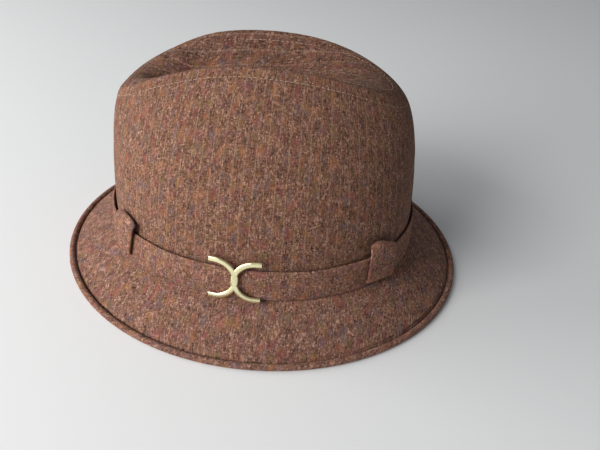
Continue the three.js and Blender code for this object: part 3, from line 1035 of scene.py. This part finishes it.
def loop_points(middle, push, droop, stand):
    """Points of one loop: its section carried up the path, with its top corners rounded."""
    half_width = LOOP_WIDTH / 2
    depth = LOOP_THICKNESS * (0.5 * loop_thick - 0.5)
    swell = LOOP_SWELL * np.cos(loop_wide * math.pi / 2)
    rise = (loop_path[:, 0] - loop_path[0, 0]) / (loop_path[-1, 0] - loop_path[0, 0])
    into_corner = np.clip(LOOP_CORNER - (loop_strip[-1] - loop_strip), 0, LOOP_CORNER)
    narrower = LOOP_CORNER - np.sqrt(LOOP_CORNER ** 2 - into_corner ** 2)
    reach = loop_wide[None, :] * (half_width - narrower)[:, None]
    far = ease(-half_width / 2, half_width, reach)
    z = loop_path[:, :1] + loop_face[:, :1] * depth - droop * far * ease(0.3, 1, rise)[:, None]
    out = loop_path[:, 1:] + loop_face[:, 1:] * (depth + swell) + stand * far
    shift = push * (rise - 0.5)
    mm_per_radian = np.linalg.norm(head_run(middle, step=1e-3))
    return beside_crown(middle + (reach + shift[:, None]) / mm_per_radian, z, out)


def loop_map(degrees):
    """Cloth map of one loop. The degrees give each loop its own patch of the cloth."""
    side = LOOP_WIDTH / 2 * loop_wide
    edge = np.cumsum(np.abs(np.diff(side, prepend=side[0])))
    strip = np.concatenate([loop_strip[:1], loop_strip, loop_strip[-1:]])
    return np.stack(np.broadcast_arrays(edge[None, :] + degrees, strip[:, None]), -1)


def closed_ends(points):
    """A tube with a point in the middle of each end, repeated to close it."""
    ends = [np.broadcast_to(row.mean(1, keepdims=True), row.shape) for row in (points[:1], points[-1:])]
    return np.concatenate([ends[0], points, ends[1]])


for node, shape in LOOPS.items():
    points = loop_points(math.radians(shape["degrees"]), shape["push"], shape["droop"], shape["stand"])
    tweed_loop = skin_piece("tweed_" + node, closed_ends(points), loop_map(shape["degrees"]), band_tweed)
    settle(tweed_loop, "band_cloth", node)

# %% [markdown]
# The topstitching is thread: short stitches, one after another, each dipping into the cloth at its ends.
# A stitch is a thin spindle laid along the cloth, and hundreds of them make one piece. Here and there,
# and all along the back, the thread is pulled down into the wool and hardly shows.

# %% One stitch
STITCH_MM = 3.0
STITCH_FILL = 0.86
STITCH_STATIONS = 9
STITCH_SIDES = 6
STITCH_DIP = 0.28
THREAD_RADIUS = 0.22
THREAD_END_SHARE = 0.25
THREAD_MAP_MM = 0.3
SUNK_MM = 0.3
SUNK_PATCH_MM = 16
SUNK_BEHIND = (45, 65)
stitch_share = np.linspace(0, 1, STITCH_STATIONS)


def stitch_points(centre):
    """Points of one stitch, in rings along its centre line."""
    run = unit(centre[-1] - centre[0])
    side = unit(np.cross(run, [0, 0, 1]))
    top = np.cross(side, run)
    middle = centre[STITCH_STATIONS // 2]
    arch = np.sin(stitch_share * math.pi)
    hidden = ease(0.05, 0.4, noise.noise(Vector(middle / SUNK_PATCH_MM))) + ease(*SUNK_BEHIND, middle[1])
    height = STITCH_DIP * arch - STITCH_DIP - SUNK_MM * min(1, hidden)
    radius = THREAD_RADIUS * (THREAD_END_SHARE + (1 - THREAD_END_SHARE) * arch ** 0.6)
    turn = np.linspace(0, TURN, STITCH_SIDES + 1)[:-1, None]
    ring = side * np.cos(turn) + top * np.sin(turn)
    return (centre + top * height[:, None])[:, None] + radius[:, None, None] * ring


def tube_faces(rings, sides):
    """Faces round a tube of rings, and over its two ends."""
    faces = []
    for ring in range(rings - 1):
        for side in range(sides):
            a = ring * sides + side
            b = ring * sides + (side + 1) % sides
            faces.append((a, a + sides, b + sides, b))
    last = (rings - 1) * sides
    return faces + [tuple(range(sides)), tuple(range(last + sides - 1, last - 1, -1))]


def stitch_map():
    """The thread's map at the corners of one stitch's faces. Its two ends are too small to show one."""
    flat = []
    for row in range(STITCH_STATIONS - 1):
        for column in range(STITCH_SIDES):
            flat += [(column, row), (column, row + 1), (column + 1, row + 1), (column + 1, row)]
    return np.array(flat + [(0, 0)] * (2 * STITCH_SIDES)) * THREAD_MAP_MM


print("a stitch is", round(STITCH_MM * STITCH_FILL, 1), "mm long")

# %% Topstitching
SIDE_STITCH_LIFT = 0.15
# The tip's line is found on its smooth face, so it is raised onto the double cloth
TIP_STITCH_LIFT = 0.35


def stitches(name, line):
    """Stitches along a closed line."""
    length = lengths_along(line)
    count = int(length[-1] / STITCH_MM)
    pitch = length[-1] / count
    points, faces = [], []
    for index in range(count):
        where = (index + stitch_share * STITCH_FILL) * pitch
        centre = np.stack([np.interp(where, length, line[:, axis]) for axis in range(3)], 1)
        points.append(stitch_points(centre).reshape(-1, 3))
        first = index * STITCH_STATIONS * STITCH_SIDES
        faces += [[first + corner for corner in face] for face in tube_faces(STITCH_STATIONS, STITCH_SIDES)]
    flat = np.tile(stitch_map(), (count, 1))
    piece = cloth_piece(name, np.concatenate(points), faces, flat, tan_thread)
    settle(piece, "tweed_cloth")
    print(count, "stitches")


def side_stitch_line():
    """The line on the side crown that stays one distance from the seam, a little over the cloth."""
    normal = grid_normals(side_outer)
    line = []
    for column, distance in enumerate(side_distance.T):
        values = np.concatenate([side_outer[:, column], normal[:, column]], 1)
        there = np.array([np.interp(TOPSTITCH_SIDE, distance, value) for value in values.T])
        line.append(there[:3] + SIDE_STITCH_LIFT * unit(there[3:]))
    return np.array(line)


def tip_half_width(y):
    """Half width of the tip's oval, and never quite 0."""
    end, power = (TIP["back"], TIP["back_power"]) if y > 0 else (TIP["front"], TIP["front_power"])
    width = TIP["half_width"] * (1 - min(1, abs(y) / end) ** power) ** (1 / power)
    return max(width, 1e-6)


def tip_stitch_line():
    """The line on the tip, found by walking in from each point of the seam until it is far enough."""
    line = []
    for seam_x, seam_y, seam_point in zip(*oval_point(TIP, ANGLES), side_crown(ANGLES, SEAM_LEVEL)):
        for share in np.linspace(1, 0.3, 60):
            x, y = seam_x * share, seam_y * share
            point = tip_top(x, y, x / tip_half_width(y))
            if np.linalg.norm(point - seam_point) >= TOPSTITCH_TIP:
                break
        line.append(point)
    return np.array(line)


stitches("side_topstitch", side_stitch_line())
stitches("tip_topstitch", tip_stitch_line() + np.array([0, 0, TIP_STITCH_LIFT]))

# %% [markdown]
# The ornament is two half rings of flat brass strip, open to the sides and soldered back to back, with
# short straight tails. Each is a flat section with softened edges swept along its half circle, bowed a
# little to follow the hat, and the two are joined into one body, as solder would.

# %% Half rings
RING = {"outer": 15, "stroke": 3.7, "spacing": 25.2, "tail": 3.4, "depth": 1.8}
RING_STATIONS = 49
RING_SIDES = 32


def half_ring(sign):
    """Points of one half ring, open towards +X or -X, in the ornament's own plane."""
    middle = RING["outer"] - RING["stroke"] / 2
    arc = np.linspace(TURN / 4, TURN * 3 / 4, RING_STATIONS)
    path = [(RING["tail"], middle), (RING["tail"] / 2, middle)]
    path += [(middle * math.cos(a), middle * math.sin(a)) for a in arc]
    path += [(RING["tail"] / 2, -middle), (RING["tail"], -middle)]
    path = np.array(path)
    run = unit(np.gradient(path, axis=0))
    side = np.stack([-run[:, 1], run[:, 0]], 1)
    wide, deep = (values[:-1] for values in soft_section(RING_SIDES, 0.6, 0.9))
    flat = path[:, None] + side[:, None] * (RING["stroke"] / 2 * wide)[:, None]
    x = sign * (flat[..., 0] + RING["spacing"] / 2)
    bow = HEAD["half_width"] / (2 * HEAD["back"] ** 2)
    z = RING["depth"] / 2 * (1 + deep) - bow * x ** 2
    return np.stack([x, sign * flat[..., 1], z], -1)


def ring_object(name, sections):
    """A closed body from sections along a path."""
    mesh = bpy.data.meshes.new(name)
    mesh.from_pydata(sections.reshape(-1, 3).tolist(), [], tube_faces(*sections.shape[:2]))
    edit_mesh(mesh, lambda opened: bmesh.ops.recalc_face_normals(opened, faces=opened.faces))
    return add_object(name, mesh)


right_ring = ring_object("right_ring", half_ring(1))
left_ring = ring_object("left_ring", half_ring(-1))
print("half rings", 2 * RING["outer"], "mm high")

# %% [markdown]
# The ornament stands just off the band, at the hat's side, and leans back with the wall behind it.

# %% Ornament
ORNAMENT_MM = Vector((HEAD["half_width"] + 4.6, CENTRE_Y - 0.9, 37.6))
ORNAMENT_LEAN = math.radians(5)
ORNAMENT_CREASE = math.radians(50)


def soldered(first, second):
    """The mesh of two bodies joined into one. The two are used up."""
    joint = first.modifiers.new("solder", "BOOLEAN")
    joint.object = second
    joint.operation = "UNION"
    joint.solver = "EXACT"
    graph = bpy.context.evaluated_depsgraph_get()
    mesh = bpy.data.meshes.new_from_object(first.evaluated_get(graph))
    for spent in (first, second):
        bpy.data.objects.remove(spent)
    return mesh


ornament_mesh = soldered(right_ring, left_ring)
ornament_turn = Matrix((
    (0, -math.sin(ORNAMENT_LEAN), math.cos(ORNAMENT_LEAN)),
    (1, 0, 0),
    (0, math.cos(ORNAMENT_LEAN), math.sin(ORNAMENT_LEAN)),
)).to_4x4()
ornament_mesh.transform(Matrix.Translation(ORNAMENT_MM * MM) @ ornament_turn @ Matrix.Scale(MM, 4))
ornament_mesh.materials.clear()
ornament_mesh.materials.append(pale_brass)
ornament_mesh.shade_smooth()
ornament_mesh.set_sharp_from_angle(angle=ORNAMENT_CREASE)
brass_ornament = add_object("brass_ornament", ornament_mesh)
settle(brass_ornament, "brass", "ornament")
